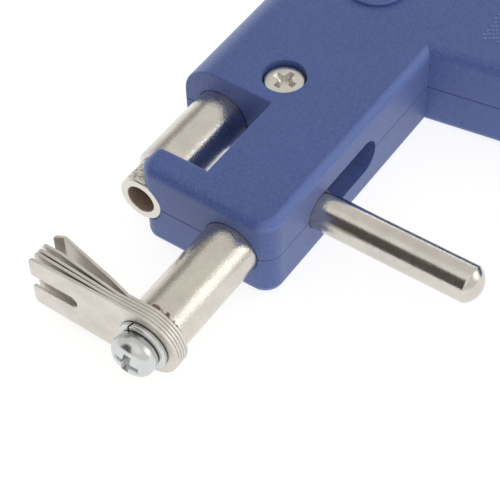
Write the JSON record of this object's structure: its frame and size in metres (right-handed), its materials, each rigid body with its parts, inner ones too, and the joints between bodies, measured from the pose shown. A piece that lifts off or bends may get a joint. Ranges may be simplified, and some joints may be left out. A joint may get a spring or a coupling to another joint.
{
  "type": "ear piercing gun",
  "caption": "Pistol-shaped hand tool: two-half plastic body, sprung stud-holder plunger with a cocking knob, and a trigger-pin slide rod carrying forked clutch leaves.",
  "frame": {"origin": "middle of the bounding box in X and Y, on the right broad face, on which the gun lies", "axes": "+X rearwards along both rods, +Y up as the gun is held, +Z from the right broad face to the left one"},
  "size_m": [0.145, 0.0954, 0.016],
  "materials": {
    "body_plastic": "fine-grained moulded ABS",
    "nickel_rod": "polished nickel plate",
    "nickel_tube": "nickel plate over a rough turned tube",
    "leaf_steel": "satin nickel-plated spring strip",
    "zinc_screw": "bright zinc plate",
    "nickel_screw": "nickel plate",
    "knob_metal": "turned and nickel-plated",
    "rubber": "moulded rubber",
    "spring_steel": "drawn spring wire",
    "dark_steel": "hardened steel"
  },
  "bodies": {
    "body": {"left_shell": "body_plastic", "right_shell": "body_plastic", "case_screws": "nickel_screw", "rear_guide_bush": "knob_metal", "return_spring_seat": "knob_metal", "sear_pin": "dark_steel", "sear_spring": "spring_steel"},
    "plunger": {"stud_holder": "nickel_tube", "plunger_sleeve": "nickel_rod", "draw_rod": "nickel_rod", "plunger_spring": "spring_steel", "buffer_washer": "rubber", "cocking_knob": "knob_metal", "knob_pin": "dark_steel"},
    "carriage": {"slide_rod": "nickel_rod", "trigger_pin": "nickel_rod", "clutch_plate_1": "leaf_steel", "clutch_plate_2": "leaf_steel", "clutch_plate_3": "leaf_steel", "clutch_plate_4": "leaf_steel", "clutch_spring_leaf": "leaf_steel", "lock_washer": "zinc_screw", "clutch_screw": "zinc_screw", "return_spring": "spring_steel"},
    "sear": {"sear_lever": "dark_steel"}
  },
  "joints": [
    {"name": "plunger_slide", "type": "slide", "parent": "body", "child": "plunger", "axis": [1, 0, 0], "range_m": [0, 0.013], "stiffness_N_per_m": 400, "springref_m": -0.015, "deforming": ["plunger_spring"]},
    {"name": "trigger_slide", "type": "slide", "parent": "body", "child": "carriage", "axis": [1, 0, 0], "range_m": [0, 0.0118], "stiffness_N_per_m": 300, "springref_m": -0.01, "deforming": ["return_spring"]},
    {"name": "sear_pivot", "type": "hinge", "parent": "body", "child": "sear", "pos_m": [-0.003, 0.0328, 0.0077], "axis": [0, 0, 1], "range_deg": [0, 10.6]}
  ],
  "couplings": [
    {"joint": "sear_pivot", "follows": "trigger_slide", "rad_per_m": 15.53}
  ]
}
